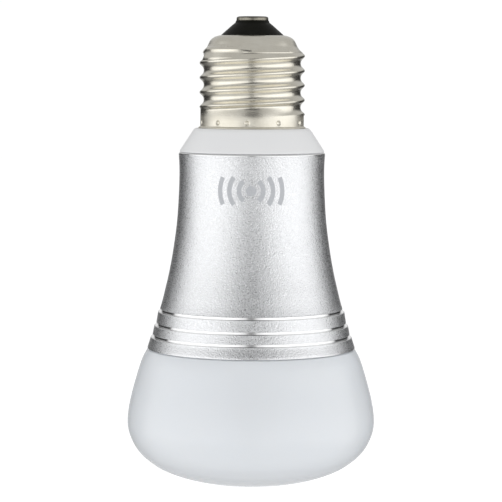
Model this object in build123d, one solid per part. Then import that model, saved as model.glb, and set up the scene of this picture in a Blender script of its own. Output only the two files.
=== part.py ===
"""Smart LED lamp with an Edison screw cap: flared aluminium body, white plastic neck and a
milky plastic globe, with its driver, radio module and LED board inside.

Frame: +Z runs out of the cap, towards the lampholder. The origin is the middle of the centre
contact's outer face, so the whole lamp lies at Z <= 0 and the globe's pole is its lowest point.
Units are millimetres. Every piece is written to parts/NAME.step.
"""

from build123d import *
from math import cos, sin, radians, hypot, pi
import os

os.makedirs("parts", exist_ok=True)

# ---------------------------------------------------------------- driving dimensions
# Edison screw cap
THREAD_PITCH = 3.629          # seven turns to the inch
THREAD_CREST_R = 13.05        # 26.1 mm over the crests
THREAD_ROOT_R = 12.10         # 24.2 mm at the roots
SHEET = 0.40                  # wall of the rolled cap shell
SKIRT_R = 12.85               # plain rim below the thread
SKIRT_LIP_R = 13.35
Z_THREAD_TOP = -7.9
Z_THREAD_FULL = -9.6          # first full crest on the +X side
Z_SKIRT_TOP = -22.9
Z_NECK_TOP = -27.60           # face the cap stands on
PUNCH_COUNT = 10
PUNCH_Z = -26.15
PUNCH_R = 0.50
PUNCH_START_DEG = 228.5
CONTACT_R = 3.95
CONTACT_FLAT_R = 3.45
CONTACT_H = 1.00
CONTACT_STEM_R = 1.20
CAP_OPENING_R = 7.60          # hole in the cap shell that the insulator fills

# white neck
NECK_TOP_R = 14.30
NECK_BASE_R = 17.95
Z_BODY_TOP = -33.45
STUB_R = 11.60
STUB_BORE_R = 9.70
SPIGOT_R = 12.40
SPIGOT_END_Z = -38.0

# aluminium body
BODY_WALL = 1.40
FLANGE_R = 12.50
FLANGE_T = 1.60
PLATE_SEAT_Z = -71.0
PLATE_R = 21.55
GLOBE_SEAT_R = 23.30
GLOBE_SEAT_TOP_Z = -77.6
BODY_END_Z = -82.60
BODY_OUTLINE = [              # (radius, z) down the flare
    (18.20, -33.85), (18.10, -35.00), (18.01, -38.20), (18.08, -41.75), (18.23, -45.50),
    (18.46, -49.20), (18.82, -53.00), (19.35, -56.70), (19.95, -60.50), (20.70, -64.20),
    (21.58, -68.00), (22.18, -70.50), (22.78, -72.55),
]
# three turned grooves; each: lip radius, lip z, first radius of the band below it
GROOVES = [(22.78, -72.55, 23.30), (23.70, -76.00, 24.25), (24.62, -78.90, 25.15)]
BODY_RIM_R = 25.90
GROOVE_IN = 0.32
GROOVE_DROP = 0.30
CHAMFER_H = 0.62

# globe
GLOBE_WALL = 1.60
GLOBE_NECK_R = 23.20
GLOBE_NECK_TOP_Z = -78.0
GLOBE_OUTLINE = [             # (radius, z) from the shoulder to the pole
    (25.80, -82.62), (26.34, -83.50), (27.27, -85.30), (28.27, -88.30), (29.14, -91.30),
    (29.92, -94.30), (30.50, -97.20), (30.85, -100.10), (30.80, -102.10), (30.37, -104.05),
    (29.57, -105.95), (28.42, -107.80), (26.78, -109.56), (24.42, -111.33), (21.25, -112.94),
    (16.45, -114.55), (10.60, -115.85), (5.20, -116.45),
]
GLOBE_POLE_Z = -116.62

# light engine
PLATE_T = 2.0
PAD_T = 0.30
LED_BOARD_R = 19.6
LED_BOARD_T = 1.6
WHITE_LEDS = 12
WHITE_LED_PCR = 15.6
BOARD_SCREW_PCR = 12.4
BOARD_SCREW_R = 1.25

# driver
SLEEVE_R = 14.6
SLEEVE_WALL = 1.2
SLEEVE_TOP_Z = -37.0
PCB_T = 1.2
PCB_Y = 2.5                   # the driver board's component face
PCB_NARROW = 16.0
PCB_WIDE = 24.6
PCB_TOP_Z = -14.5
PCB_STEP_Z = -38.8
PCB_END_Z = -68.6


# ---------------------------------------------------------------- helpers
def at(r, z):
    return Vector(r, 0, z)


def lathe(points):
    """A solid turned about Z from a closed outline of (radius, z) points."""
    wire = Wire(Polyline(*[at(r, z) for r, z in points], close=True).edges())
    return revolve(Face(wire), Axis.Z, 360)


def lathe_edges(edges):
    return revolve(Face(Wire(edges)), Axis.Z, 360)


def tube(r_out, r_in, z0, z1):
    """A ring from z0 up to z1."""
    ring = Pos(0, 0, (z0 + z1) / 2) * Cylinder(r_out, abs(z1 - z0))
    if r_in > 0:
        ring -= Pos(0, 0, (z0 + z1) / 2) * Cylinder(r_in, abs(z1 - z0) + 1)
    return ring


def block(x0, x1, y0, y1, z0, z1):
    return Pos((x0 + x1) / 2, (y0 + y1) / 2, (z0 + z1) / 2) * Box(
        abs(x1 - x0), abs(y1 - y0), abs(z1 - z0))


def rod(r, z0, z1, x=0.0, y=0.0):
    return Pos(x, y, (z0 + z1) / 2) * Cylinder(r, abs(z1 - z0))


def rod_y(r, y0, y1, x=0.0, z=0.0):
    return Pos(x, (y0 + y1) / 2, z) * Rot(90, 0, 0) * Cylinder(r, abs(y1 - y0))


def rod_x(r, x0, x1, y=0.0, z=0.0):
    return Pos((x0 + x1) / 2, y, z) * Rot(0, 90, 0) * Cylinder(r, abs(x1 - x0))


def ring_places(count, radius, start_deg=0.0):
    for k in range(count):
        a = radians(start_deg + 360.0 * k / count)
        yield radius * cos(a), radius * sin(a), start_deg + 360.0 * k / count


def helix_ridge(crest_r, base_r, half_base, half_crest, z_start, turns):
    """One helical ridge, its crest on the +X side at z_start, made one turn at a time."""
    flank_r = crest_r - 0.42
    foot_r, foot_h = base_r - 0.12, half_base + 0.10
    deep_r = base_r - 0.75
    ridge = None
    for k in range(turns):
        z = z_start + k * THREAD_PITCH
        path = Helix(pitch=THREAD_PITCH, height=THREAD_PITCH, radius=base_r, center=(0, 0, z))
        outline = Wire([
            Line(at(deep_r, z - foot_h), at(foot_r, z - foot_h)),
            Line(at(foot_r, z - foot_h), at(flank_r, z - half_crest)),
            ThreePointArc(at(flank_r, z - half_crest), at(crest_r, z), at(flank_r, z + half_crest)),
            Line(at(flank_r, z + half_crest), at(foot_r, z + foot_h)),
            Line(at(foot_r, z + foot_h), at(deep_r, z + foot_h)),
            Line(at(deep_r, z + foot_h), at(deep_r, z - foot_h)),
        ])
        turn = sweep(Face(outline), path=path, is_frenet=True)
        ridge = turn if ridge is None else ridge + turn
    return ridge


def wire_run(points, dia, radii):
    path = FilletPolyline(*points, radius=radii)
    start = Plane(origin=path @ 0, z_dir=path % 0)
    return sweep(start * Circle(dia / 2), path=path)


def write(shape, name):
    solids = shape.solids()
    made = solids[0] if len(solids) == 1 else Compound(children=list(solids))
    export_step(made, f"parts/{name}.step")
    print(name, len(solids), round(sum(s.volume for s in solids), 1))


# ---------------------------------------------------------------- cap: contact, insulator, shell
# Pressed button with a stem that rivets it into the insulator.
contact = lathe([(0, 0), (CONTACT_FLAT_R, 0), (3.72, -0.10), (3.90, -0.30), (CONTACT_R, -0.55),
                 (CONTACT_R, -CONTACT_H), (CONTACT_STEM_R, -CONTACT_H), (CONTACT_STEM_R, -8.60),
                 (0, -8.60)])
write(contact, "centre_contact")

# Black insulator: a short neck under the button, a cone, and a skirt that the shell's edge traps.
insulator = lathe_edges([
    Line(at(CONTACT_STEM_R + 0.05, -CONTACT_H), at(4.05, -CONTACT_H)),
    Line(at(4.05, -CONTACT_H), at(4.20, -1.42)),
    Spline(at(4.20, -1.42), at(4.62, -1.85), at(5.30, -2.45), tangents=[(0.2, 0, -1), (1, 0, -0.88)]),
    Line(at(5.30, -2.45), at(7.45, -4.34)),
    Line(at(7.45, -4.34), at(7.45, -4.90)),
    Line(at(7.45, -4.90), at(9.30, -5.60)),
    Line(at(9.30, -5.60), at(10.25, -7.20)),
    Line(at(10.25, -7.20), at(10.25, -8.80)),
    Line(at(10.25, -8.80), at(8.90, -8.80)),
    Line(at(8.90, -8.80), at(8.20, -6.90)),
    Line(at(8.20, -6.90), at(3.40, -5.40)),
    Line(at(3.40, -5.40), at(2.90, -8.00)),
    Line(at(2.90, -8.00), at(CONTACT_STEM_R + 0.05, -8.00)),
    Line(at(CONTACT_STEM_R + 0.05, -8.00), at(CONTACT_STEM_R + 0.05, -CONTACT_H)),
])
write(insulator, "cap_insulator")

# Cap shell: rolled sheet with the screw thread pressed through it, so it is ridged inside too.
THREAD_START = Z_THREAD_FULL - 4 * THREAD_PITCH
TURNS = 5


def cap_outline(off):
    """Outer skin of the cap without its thread, moved in by off."""
    return [
        (CAP_OPENING_R, -4.35 - off), (8.20 - 0.2 * off, -4.56 - off),
        (9.30 - 0.5 * off, -5.00 - 0.9 * off), (9.98 - 0.7 * off, -5.42 - 0.7 * off),
        (10.50 - 0.85 * off, -6.02 - 0.5 * off), (10.86 - off, -6.77 - 0.2 * off),
        (11.22 - off, -7.51), (THREAD_ROOT_R - off, -8.75), (THREAD_ROOT_R - off, Z_SKIRT_TOP + 0.55),
        (SKIRT_R - off, Z_SKIRT_TOP - 0.35),
    ]


skin_out = lathe([(0, -4.35)] + cap_outline(0) +
                 [(SKIRT_R, -27.05), (SKIRT_LIP_R, Z_NECK_TOP + 0.12), (SKIRT_LIP_R, Z_NECK_TOP),
                  (0, Z_NECK_TOP)])
envelope_out = lathe([(0, Z_THREAD_TOP), (11.45, Z_THREAD_TOP), (13.60, Z_THREAD_FULL - 0.10),
                      (13.60, -21.75), (12.45, -23.6), (0, -23.6)])
ridge_out = helix_ridge(THREAD_CREST_R, THREAD_ROOT_R, 1.28, 0.62, THREAD_START, TURNS) & envelope_out
skin_in = lathe([(0, -4.35 - SHEET)] + [(r, z) for r, z in cap_outline(SHEET)][1:] +
                [(SKIRT_R - SHEET, -27.05), (SKIRT_R - SHEET, Z_NECK_TOP - 1), (0, Z_NECK_TOP - 1)])
envelope_in = lathe([(0, Z_THREAD_TOP - 0.3), (11.0, Z_THREAD_TOP - 0.3), (13.2, Z_THREAD_FULL - 0.4),
                     (13.2, -21.75), (12.0, -23.4), (0, -23.4)])
ridge_in = helix_ridge(THREAD_CREST_R - SHEET, THREAD_ROOT_R - SHEET, 1.10, 0.45,
                       THREAD_START, TURNS) & envelope_in
opening = rod(CAP_OPENING_R, -10, 0)

shell = skin_out + ridge_out
shell = shell - skin_in
shell = shell - ridge_in
shell = shell - opening
# Punch marks stake the shell into the neck's stub: a dimple outside, a stub of metal inside.
for k in range(PUNCH_COUNT):
    turn = Rot(0, 0, PUNCH_START_DEG + 360.0 * k / PUNCH_COUNT)
    shell = shell + turn * rod_x(PUNCH_R, SKIRT_R - 2 * SHEET, SKIRT_R - 0.5 * SHEET, 0, PUNCH_Z)
for k in range(PUNCH_COUNT):
    turn = Rot(0, 0, PUNCH_START_DEG + 360.0 * k / PUNCH_COUNT)
    shell = shell - turn * Pos(SKIRT_R + 0.10, 0, PUNCH_Z) * Rot(0, 90, 0) * Sphere(PUNCH_R)
write(shell, "screw_shell")

# ---------------------------------------------------------------- white neck
neck_out = lathe([
    (0, -9.20), (STUB_R - 0.4, -9.20), (STUB_R, -9.60), (STUB_R, -23.6), (SKIRT_R - SHEET - 0.03, -24.6),
    (SKIRT_R - SHEET - 0.03, Z_NECK_TOP), (13.75, Z_NECK_TOP), (14.08, -27.70),
    (NECK_TOP_R, -27.92), (NECK_BASE_R, Z_BODY_TOP + 0.02), (NECK_BASE_R, Z_BODY_TOP),
    (SPIGOT_R, Z_BODY_TOP), (SPIGOT_R, SPIGOT_END_Z + 0.5), (SPIGOT_R - 0.5, SPIGOT_END_Z),
    (0, SPIGOT_END_Z)])
neck = neck_out - rod(STUB_BORE_R, -40, -5)
for k in range(PUNCH_COUNT):
    turn = Rot(0, 0, PUNCH_START_DEG + 360.0 * k / PUNCH_COUNT)
    neck = neck - turn * rod_x(PUNCH_R + 0.03, SKIRT_R - 2 * SHEET - 0.03, SKIRT_R, 0, PUNCH_Z)
COLLAR_SCREW_PCR = 14.55
for x, y, _ in ring_places(3, COLLAR_SCREW_PCR, 90):
    neck = neck - rod(1.06, Z_BODY_TOP - 0.01, Z_BODY_TOP + 3.6, x, y)
# Notch in the stub's rim where the neutral lead bends over it.
neck = neck - block(9.0, 12.2, -0.85, 0.85, -13.8, -9.0)
write(neck, "neck_collar")


def pan_screw(shank_r, length, head_r, head_h, recess=0.45):
    """Cross-recess pan-head screw, head underside at z 0, shank up +Z."""
    s = rod(shank_r, 0, length - 0.5) + Pos(0, 0, length - 0.25) * Cone(shank_r, shank_r * 0.55, 0.5)
    head = lathe([(0, 0), (head_r, 0), (head_r, -0.45 * head_h), (head_r * 0.86, -0.82 * head_h),
                  (head_r * 0.55, -head_h), (0, -head_h)])
    slot = block(-head_r * 0.55, head_r * 0.55, -recess / 2, recess / 2, -head_h - 0.1, -head_h * 0.45)
    return s + head - slot - Rot(0, 0, 90) * slot


collar_screws = [Pos(x, y, Z_BODY_TOP - FLANGE_T) * pan_screw(1.05, 4.9, 1.85, 1.4)
                 for x, y, _ in ring_places(3, COLLAR_SCREW_PCR, 90)]
write(Compound(children=collar_screws), "collar_screws")

# ---------------------------------------------------------------- aluminium body
flare = Spline(*[at(r, z) for r, z in BODY_OUTLINE])
body_points = []
for i, (lip_r, lip_z, band_r) in enumerate(GROOVES):
    nxt = GROOVES[i + 1] if i + 1 < len(GROOVES) else None
    body_points += [(lip_r - 0.06, lip_z - 0.10), (lip_r - GROOVE_IN, lip_z - 0.12),
                    (lip_r - GROOVE_IN, lip_z - GROOVE_DROP),
                    (band_r, lip_z - GROOVE_DROP - CHAMFER_H)]
    if nxt:
        body_points += [(nxt[0], nxt[1])]
    else:
        body_points += [(BODY_RIM_R, -82.25), (BODY_RIM_R - 0.30, BODY_END_Z)]
inner = [(r - BODY_WALL, z) for r, z in BODY_OUTLINE[2:-2]]
inner_flare = Spline(*[at(r, z) for r, z in inner])
chain = [(GLOBE_SEAT_R + 0.62, BODY_END_Z), (GLOBE_SEAT_R, BODY_END_Z + 0.62),
         (GLOBE_SEAT_R, -80.75), (GLOBE_SEAT_R + 0.32, -80.55), (GLOBE_SEAT_R + 0.32, -79.75),
         (GLOBE_SEAT_R, -79.55), (GLOBE_SEAT_R, GLOBE_SEAT_TOP_Z), (PLATE_R, GLOBE_SEAT_TOP_Z),
         (PLATE_R, PLATE_SEAT_Z), (inner[-1][0], PLATE_SEAT_Z), inner[-1]]


def polyline_edges(points):
    return [Line(at(*a), at(*b)) for a, b in zip(points, points[1:])]


body_edges = [Line(at(17.95, Z_BODY_TOP), at(18.20, -33.62)), Line(at(18.20, -33.62), at(*BODY_OUTLINE[0])), flare]
body_edges += polyline_edges([BODY_OUTLINE[-1]] + body_points + chain)
body_edges += [inner_flare]
body_edges += polyline_edges([inner[0], (inner[0][0], Z_BODY_TOP - FLANGE_T), (FLANGE_R, Z_BODY_TOP - FLANGE_T),
                              (FLANGE_R, Z_BODY_TOP), (17.95, Z_BODY_TOP)])
body = lathe_edges(body_edges)
for x, y, _ in ring_places(3, COLLAR_SCREW_PCR, 90):
    body = body - rod(1.20, Z_BODY_TOP - FLANGE_T - 0.5, Z_BODY_TOP + 0.5, x, y)
write(body, "heat_sink_body")

# ---------------------------------------------------------------- globe
pole = at(0, GLOBE_POLE_Z)
outer_pts = [at(r, z) for r, z in GLOBE_OUTLINE] + [pole]
outer_curve = Spline(*outer_pts, tangents=[(0.62, 0, -1), (-1, 0, 0)])
inner_pts = []
for k in range(3, len(outer_pts) - 1):
    t = (outer_pts[k + 1] - outer_pts[k - 1]).normalized()
    inner_pts.append(outer_pts[k] + Vector(t.Z, 0, -t.X) * GLOBE_WALL)
inner_pole = at(0, GLOBE_POLE_Z + GLOBE_WALL)
neck_in = GLOBE_NECK_R - 1.5
inner_start = at(25.15, -84.65)
inner_curve = Spline(inner_start, *inner_pts, inner_pole, tangents=[(0.45, 0, -1), (-1, 0, 0)])
globe_edges = [outer_curve, Line(pole, inner_pole), inner_curve]
globe_edges += polyline_edges([(25.15, -84.65), (24.55, -84.20), (neck_in, -84.20),
                               (neck_in, GLOBE_NECK_TOP_Z), (GLOBE_NECK_R - 0.25, GLOBE_NECK_TOP_Z),
                               (GLOBE_NECK_R, -78.3), (GLOBE_NECK_R, -79.75), (GLOBE_NECK_R + 0.28, -79.95),
                               (GLOBE_NECK_R + 0.28, -80.30), (GLOBE_NECK_R, -80.70),
                               (GLOBE_NECK_R, -82.62), (25.80, -82.62)])
globe = lathe_edges(globe_edges)
write(globe, "diffuser_globe")

# Bead of silicone in the corner between body, neck and shoulder.
seal = lathe([(GLOBE_NECK_R + 0.02, BODY_END_Z), (GLOBE_SEAT_R + 0.55, BODY_END_Z),
              (GLOBE_NECK_R + 0.02, BODY_END_Z + 0.50)])
write(seal, "globe_sealant")

# ---------------------------------------------------------------- light engine
plate_z = PLATE_SEAT_Z - PLATE_T
pad_z = plate_z - PAD_T
board_z = pad_z - LED_BOARD_T
RADIO_X0, RADIO_X1 = -9.0, 3.0
RADIO_Y0, RADIO_Y1 = -4.8, -4.0
HEADER_X0, HEADER_X1 = -7.62, 7.62
HEADER_Y = 5.6
radio_slot = block(RADIO_X0 - 0.4, RADIO_X1 + 0.4, RADIO_Y0 - 0.5, RADIO_Y1 + 0.5, -90, -60)
header_slot = block(HEADER_X0 - 0.6, HEADER_X1 + 0.6, HEADER_Y - 1.6, HEADER_Y + 1.6, -90, -60)


def board_holes(r):
    made = None
    for x, y, _ in ring_places(3, BOARD_SCREW_PCR, 30):
        h = rod(r, -90, -60, x, y)
        made = h if made is None else made + h
    return made


plate = tube(PLATE_R, 0, plate_z, PLATE_SEAT_Z)
plate = chamfer(plate.edges().filter_by(GeomType.CIRCLE).group_by(Axis.Z)[0], 0.35)
plate = plate - board_holes(BOARD_SCREW_R + 0.02) - radio_slot - header_slot
write(plate, "heat_spreader_plate")

pad = tube(LED_BOARD_R - 0.6, 0, pad_z, plate_z) - board_holes(BOARD_SCREW_R + 0.4) - radio_slot - header_slot
write(pad, "thermal_pad")

led_board = tube(LED_BOARD_R, 0, board_z, pad_z) - board_holes(BOARD_SCREW_R + 0.2) - radio_slot - header_slot
# Two half-round locating notches on the rim.
for a in (0, 180):
    led_board = led_board - Rot(0, 0, a) * rod(1.2, -90, -60, LED_BOARD_R + 0.3, 0)
write(led_board, "led_board")

board_screws = [Pos(x, y, board_z) * pan_screw(BOARD_SCREW_R, 3.8, 2.35, 1.6, 0.6)
                for x, y, _ in ring_places(3, BOARD_SCREW_PCR, 30)]
write(Compound(children=board_screws), "board_screws")


def packages(count, pcr, start, size, height, z, well_r, well_d):
    bodies, windows = [], []
    for x, y, a in ring_places(count, pcr, start):
        here = Pos(x, y, z) * Rot(0, 0, a)
        b = block(-size / 2, size / 2, -size / 2, size / 2, -height, 0) - rod(well_r, -height - 1, -height + well_d)
        bodies.append(here * b)
        windows.append(here * rod(well_r, -height, -height + well_d))
    return Compound(children=bodies), Compound(children=windows)


white_bodies, white_windows = packages(WHITE_LEDS, WHITE_LED_PCR, 15, 3.0, 0.75, board_z, 1.25, 0.35)
write(white_bodies, "white_led_packages")
write(white_windows, "white_led_phosphor")
# Colour LEDs sit where the slots leave room.
colour_at = [(-5.4, -8.6), (5.4, -8.6), (10.8, -1.2), (-11.2, -0.2), (0.0, 0.3), (0.0, 10.2)]
cb, cw = [], []
for x, y in colour_at:
    here = Pos(x, y, board_z)
    cb.append(here * (block(-1.75, 1.75, -1.75, 1.75, -1.1, 0) - rod(1.35, -2, -0.6)))
    cw.append(here * rod(1.35, -1.1, -0.6))
write(Compound(children=cb), "colour_led_packages")
write(Compound(children=cw), "colour_led_windows")

# ---------------------------------------------------------------- driver housing and board
sleeve_in = SLEEVE_R - SLEEVE_WALL
sleeve = lathe([(sleeve_in, SLEEVE_TOP_Z), (SLEEVE_R - 0.3, SLEEVE_TOP_Z), (SLEEVE_R, SLEEVE_TOP_Z - 0.3),
                (SLEEVE_R, -68.6), (15.2, -69.4), (19.6, -69.8), (19.6, PLATE_SEAT_Z),
                (sleeve_in, PLATE_SEAT_Z)])
# Guide rails each side hold the board's edges.
for sx in (-1, 1):
    for y0, y1 in ((PCB_Y - 1.25, PCB_Y - 0.05), (PCB_Y + PCB_T + 0.05, PCB_Y + PCB_T + 1.25)):
        rail = block(sx * 11.2, sx * 13.6, y0, y1, PCB_END_Z - 0.6, PCB_STEP_Z - 0.2) & rod(sleeve_in + 0.2, -75, -30)
        sleeve = sleeve + rail
write(sleeve, "driver_sleeve")

disc = tube(sleeve_in - 0.1, 0, PLATE_SEAT_Z, PLATE_SEAT_Z + 0.5) - radio_slot - header_slot
write(disc, "insulating_disc")

pcb = block(-PCB_NARROW / 2, PCB_NARROW / 2, PCB_Y, PCB_Y + PCB_T, PCB_STEP_Z, PCB_TOP_Z)
pcb = pcb + block(-PCB_WIDE / 2, PCB_WIDE / 2, PCB_Y, PCB_Y + PCB_T, PCB_END_Z, PCB_STEP_Z)
pcb = pcb - rod_y(0.75, 0, 8, -5.5, PCB_TOP_Z - 1.6) - rod_y(0.75, 0, 8, 5.5, PCB_TOP_Z - 1.6)
write(pcb, "driver_board")

Y_F = PCB_Y            # face towards -Y
Y_B = PCB_Y + PCB_T    # face towards +Y

# Parts on the -Y face
bulk = lathe([(0, 0), (4.2, 0), (4.5, 0.4), (4.5, 1.6), (4.25, 2.0), (4.5, 2.4), (4.5, 15.0), (0, 15.0)])
write(Pos(0, Y_F - 4.55, -34.4) * bulk, "bulk_capacitor")
outcap = lathe([(0, 0), (3.7, 0), (4.0, 0.4), (4.0, 1.4), (3.78, 1.7), (4.0, 2.0), (4.0, 12.0), (0, 12.0)])
write(Pos(8.0, Y_F - 4.05, -66.9) * outcap, "output_capacitor")

core = block(-6.6, 6.6, Y_F - 10.2, Y_F - 0.8, -52.6, -41.4)
core = core - block(-4.6, 4.6, Y_F - 12, Y_F, -50.6, -43.4) + block(-1.7, 1.7, Y_F - 9.0, Y_F - 2.2, -50.7, -43.3)
write(core, "transformer_core")
wind = block(-4.5, 4.5, Y_F - 9.8, Y_F, -50.5, -43.5) - block(-1.8, 1.8, Y_F - 9.1, Y_F - 2.1, -52, -42)
wind = fillet(wind.edges().filter_by(Axis.Z).group_by(Axis.Y)[0], 1.0)
write(wind, "transformer_winding")

# Radio module stands through the plate so that its aerial reaches the globe.
radio = block(RADIO_X0, RADIO_X1, RADIO_Y0, RADIO_Y1, -82.2, -57.8)
write(radio, "radio_board")
can = block(RADIO_X0 + 0.8, RADIO_X1 - 0.8, RADIO_Y0 - 1.7, RADIO_Y0, -69.6, -60.2)
can = fillet(can.edges().group_by(Axis.Y)[0], 0.4)
write(can, "radio_shield")
aerial = None
for k in range(5):
    x = RADIO_X0 + 1.2 + 2.0 * k
    leg = block(x, x + 0.5, RADIO_Y0 - 0.1, RADIO_Y0, -81.6, -77.4)
    aerial = leg if aerial is None else aerial + leg
    if k < 4:
        z = -77.9 if k % 2 == 0 else -81.6
        aerial = aerial + block(x, x + 2.5, RADIO_Y0 - 0.1, RADIO_Y0, z, z + 0.5)
write(aerial, "radio_aerial")
pins = []
for k in range(4):
    x = RADIO_X0 + 2.2 + 2.54 * k
    pins.append(block(x - 0.32, x + 0.32, RADIO_Y1, Y_F, -59.3, -58.66))
write(Compound(children=pins), "radio_pins")

# Parts on the +Y face
write(fillet(block(-3.2, 3.2, Y_B, Y_B + 2.6, -26.6, -20.2).edges().group_by(Axis.Y)[-1], 0.5),
      "bridge_rectifier")
mov = rod_y(3.6, Y_B + 0.2, Y_B + 3.8, 0, -31.6)
write(fillet(mov.edges(), 0.9), "surge_varistor")
fuse = lathe([(0, -4.2), (1.35, -4.2), (1.75, -3.5), (1.55, -2.4), (1.55, 2.4), (1.75, 3.5), (1.35, 4.2), (0, 4.2)])
write(Pos(-5.5, Y_B + 1.95, -24.5) * fuse, "fusible_resistor")
xcap = fillet(block(-6.4, 6.4, Y_B + 0.05, Y_B + 5.6, -49.6, -40.4).edges().group_by(Axis.Y)[-1], 0.5)
write(xcap, "film_capacitor")
choke = lathe([(0, 0), (3.2, 0), (3.2, 1.2), (2.5, 1.6), (2.5, 6.0), (3.2, 6.4), (3.2, 7.6), (0, 7.6)])
write(Pos(-7.2, Y_B + 3.25, -60.6) * choke, "filter_choke")
ic = block(-1.0, 4.0, Y_B + 0.15, Y_B + 1.65, -58.2, -54.2)
write(chamfer(ic.edges().group_by(Axis.Y)[-1], 0.25), "driver_chip")
chip_pins = []
for k in range(4):
    x = -0.4 + 1.27 * k
    for z0, z1 in ((-54.2, -53.0), (-59.4, -58.2)):
        chip_pins.append(block(x - 0.2, x + 0.2, Y_B, Y_B + 0.15, z0, z1))
        chip_pins.append(block(x - 0.2, x + 0.2, Y_B + 0.15, Y_B + 0.85,
                               z0 if z0 > -55 else z1 - 0.2, z0 + 0.2 if z0 > -55 else z1))
write(Compound(children=chip_pins), "driver_chip_pins")

# Header from the driver board to the LED board: a strip of seven pins in a black block.
head = block(HEADER_X0, HEADER_X1, Y_B, HEADER_Y + 1.25, -66.6, -64.1)
pin_xs = [HEADER_X0 + 1.27 + 2.12 * k for k in range(7)]
for x in pin_xs:
    head = head - block(x - 0.33, x + 0.33, HEADER_Y - 0.33, HEADER_Y + 0.33, -70, -60)
write(head, "output_header")
hp = [block(x - 0.32, x + 0.32, HEADER_Y - 0.32, HEADER_Y + 0.32, -77.6, -63.4) for x in pin_xs]
write(Compound(children=hp), "output_pins")
sock = block(HEADER_X0 - 0.3, HEADER_X1 + 0.3, HEADER_Y - 2.0, HEADER_Y + 2.0, -77.2, board_z)
sock = fillet(sock.edges().group_by(Axis.Z)[0], 0.3)
for x in pin_xs:
    sock = sock - block(x - 0.36, x + 0.36, HEADER_Y - 0.36, HEADER_Y + 0.36, -80, -70)
write(sock, "board_socket")

# Leads from the cap to the driver board, held at both ends.
live = wire_run([(0, 0, -8.62), (0, 0, -11.4), (-5.5, 0.4, -12.6), (-5.5, 0.62, -16.1)], 1.3, 1.15)
live = live + rod_y(0.5, 1.1, Y_B + 0.7, -5.5, -16.1)
write(live, "live_lead")
neutral = wire_run([(11.4, 0, -10.6), (8.2, 0, -10.6), (5.5, 0.5, -12.6), (5.5, 0.62, -16.1)], 1.3, 1.15)
neutral = neutral + rod_y(0.5, 1.1, Y_B + 0.7, 5.5, -16.1)
write(neutral, "neutral_lead")
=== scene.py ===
import math

import bmesh
import bpy
import numpy as np
from mathutils import Matrix, Vector


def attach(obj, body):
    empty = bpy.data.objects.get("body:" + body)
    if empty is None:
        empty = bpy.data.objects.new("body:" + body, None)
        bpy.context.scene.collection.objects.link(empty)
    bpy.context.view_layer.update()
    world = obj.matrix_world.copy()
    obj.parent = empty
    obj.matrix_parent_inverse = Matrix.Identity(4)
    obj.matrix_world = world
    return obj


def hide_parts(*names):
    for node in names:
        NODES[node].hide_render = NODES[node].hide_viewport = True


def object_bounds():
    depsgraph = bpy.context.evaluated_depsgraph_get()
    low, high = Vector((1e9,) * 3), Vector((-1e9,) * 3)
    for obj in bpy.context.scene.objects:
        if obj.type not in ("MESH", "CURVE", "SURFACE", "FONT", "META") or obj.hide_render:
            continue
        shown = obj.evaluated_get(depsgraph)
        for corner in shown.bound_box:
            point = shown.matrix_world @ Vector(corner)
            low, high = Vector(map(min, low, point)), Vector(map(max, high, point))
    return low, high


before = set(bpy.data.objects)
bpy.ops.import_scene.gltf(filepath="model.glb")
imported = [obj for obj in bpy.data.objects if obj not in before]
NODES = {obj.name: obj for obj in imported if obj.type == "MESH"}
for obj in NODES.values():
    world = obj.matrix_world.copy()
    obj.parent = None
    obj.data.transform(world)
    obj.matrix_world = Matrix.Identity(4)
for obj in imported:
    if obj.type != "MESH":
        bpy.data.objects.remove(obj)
cad_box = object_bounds()
MM = 0.001
scene = bpy.context.scene
scene.view_settings.view_transform = "Standard"
scene.view_settings.look = "None"
scene.view_settings.exposure = 0.0
scene.view_settings.gamma = 1.0


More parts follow.
